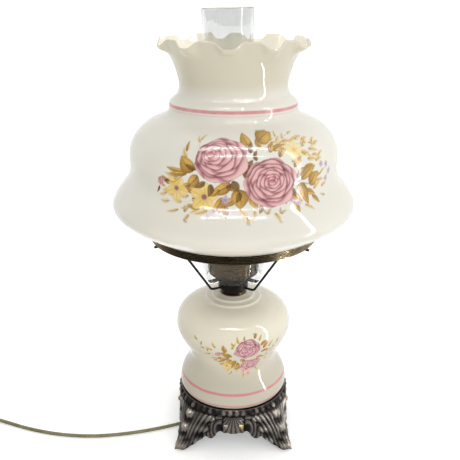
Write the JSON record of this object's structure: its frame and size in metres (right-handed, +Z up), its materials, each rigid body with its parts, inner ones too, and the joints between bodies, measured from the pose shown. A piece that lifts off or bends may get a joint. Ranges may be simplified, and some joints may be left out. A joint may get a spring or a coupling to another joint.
{
  "type": "electric parlour lamp",
  "caption": "Electric table lamp in oil-lamp style: footed cast base, waisted milk-glass body, ribbed ring on wire arms, clear chimney, ruffled dome shade and mains cord.",
  "frame": {"origin": "on the table plane, under the middle of the object without its cord", "axes": "+Z up along the lamp's axis; -Y is the decorated front; the cord runs off towards -X"},
  "size_m": [0.566, 0.293, 0.5446],
  "materials": {
    "milk_glass": "glossy opaque milk glass with fired floral transfers and pink bands",
    "clear_glass": "clear blown glass",
    "frosted_glass": "inside-frosted bulb glass",
    "pewter_casting": "dark antiqued pewter-bronze casting, rubbed on its high edges",
    "antique_brass": "antique brass, spun, darkened in the grooves",
    "socket_brass": "plain drawn brass",
    "socket_aluminium": "bright drawn aluminium",
    "black_steel": "gloss black enamel",
    "zinc_steel": "zinc plated",
    "felt": "pressed felt",
    "phenolic": "moulded phenolic",
    "black_plastic": "moulded",
    "gold_plastic": "moulded, olive gold",
    "cord_gold": "translucent olive-gold vinyl",
    "lead_insulation": "vinyl insulation",
    "liner_paper": "fish paper"
  },
  "bodies": {
    "lamp": {"cast_base": "pewter_casting", "foot_pads": "felt", "threaded_rod": "zinc_steel", "rod_washer": "zinc_steel", "rod_locknut": "zinc_steel", "burner_locknut": "zinc_steel", "cord_bushing": "black_plastic", "glass_gasket": "felt", "base_glass": "milk_glass", "neck_collar": "antique_brass", "spider_hub": "black_steel", "spider_arm_left": "black_steel", "spider_arm_right": "black_steel", "spider_arm_rear": "black_steel", "shade_ring": "antique_brass", "burner_bowl": "antique_brass", "burner_drum": "antique_brass", "chimney_rests": "antique_brass", "chimney_springs": "antique_brass", "socket_cap": "socket_brass", "socket_shell": "socket_brass", "socket_liner": "liner_paper", "socket_body": "phenolic", "terminal_screws": "socket_brass", "screw_shell": "socket_aluminium", "centre_contact": "socket_brass", "inner_leads": "lead_insulation", "cord_run": "cord_gold", "cord_link": "cord_gold", "cord_tail": "cord_gold", "cord_coil": "cord_gold", "switch_base": "gold_plastic", "switch_cover": "gold_plastic", "switch_screw": "zinc_steel", "plug_body": "gold_plastic", "plug_blades": "socket_brass"},
    "shade": {"shade": "milk_glass"},
    "chimney": {"chimney": "clear_glass"},
    "bulb": {"bulb_cap": "socket_aluminium", "bulb_insulator": "phenolic", "bulb_tip": "zinc_steel", "bulb_glass": "frosted_glass", "bulb_stem": "clear_glass", "bulb_filament": "zinc_steel"},
    "switch_thumbwheel": {"switch_wheel": "black_plastic"}
  },
  "joints": [
    {"name": "shade_lift", "type": "slide", "parent": "lamp", "child": "shade", "axis": [0, 0, 1], "range_m": [0, 0.28]},
    {"name": "chimney_lift", "type": "slide", "parent": "lamp", "child": "chimney", "axis": [-0.0227, 0, 0.9997], "range_m": [0, 0.12]},
    {"name": "bulb_out", "type": "slide", "parent": "lamp", "child": "bulb", "axis": [0, 0, 1], "range_m": [0, 0.03]},
    {"name": "switch_wheel_turn", "type": "hinge", "parent": "lamp", "child": "switch_thumbwheel", "pos_m": [-0.369, -0.0105, 0.0055], "axis": [0, 0, 1], "continuous": true}
  ]
}
